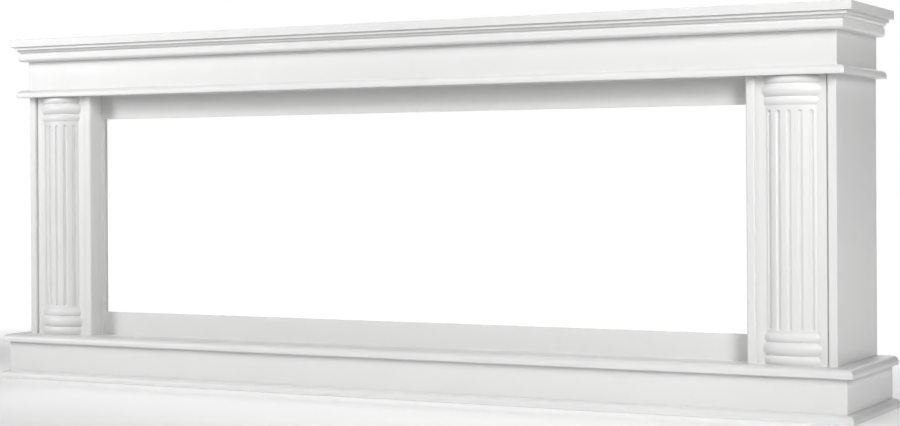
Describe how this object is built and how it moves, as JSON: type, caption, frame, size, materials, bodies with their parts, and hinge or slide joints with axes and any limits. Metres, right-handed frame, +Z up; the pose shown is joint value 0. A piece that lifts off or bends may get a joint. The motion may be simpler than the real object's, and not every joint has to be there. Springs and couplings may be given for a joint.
{
  "type": "fireplace mantelpiece",
  "caption": "Long, low white mantelpiece with fluted half-columns, a stepped plinth and a moulded shelf, open in the middle for a wide built-in fire.",
  "frame": {"origin": "on the floor, in the middle of the footprint", "axes": "+X along the shelf to the right as seen from the front, +Y towards the wall, +Z up"},
  "size_m": [2.018, 0.321, 0.782],
  "materials": {
    "white_paint": "white satin paint, sprayed on fibreboard"
  },
  "bodies": {
    "root": {"toe_board": "white_paint", "plinth_front": "white_paint", "plinth_end_left": "white_paint", "plinth_end_right": "white_paint", "hearth_slab": "white_paint", "leg_side_left": "white_paint", "leg_panel_left": "white_paint", "leg_return_left": "white_paint", "half_column_left": "white_paint", "leg_side_right": "white_paint", "leg_panel_right": "white_paint", "leg_return_right": "white_paint", "half_column_right": "white_paint", "surround_panel": "white_paint", "ledge_board": "white_paint", "frieze_front": "white_paint", "frieze_end_left": "white_paint", "frieze_end_right": "white_paint", "bed_board": "white_paint", "cornice_board": "white_paint", "top_shelf": "white_paint"}
  },
  "joints": []
}
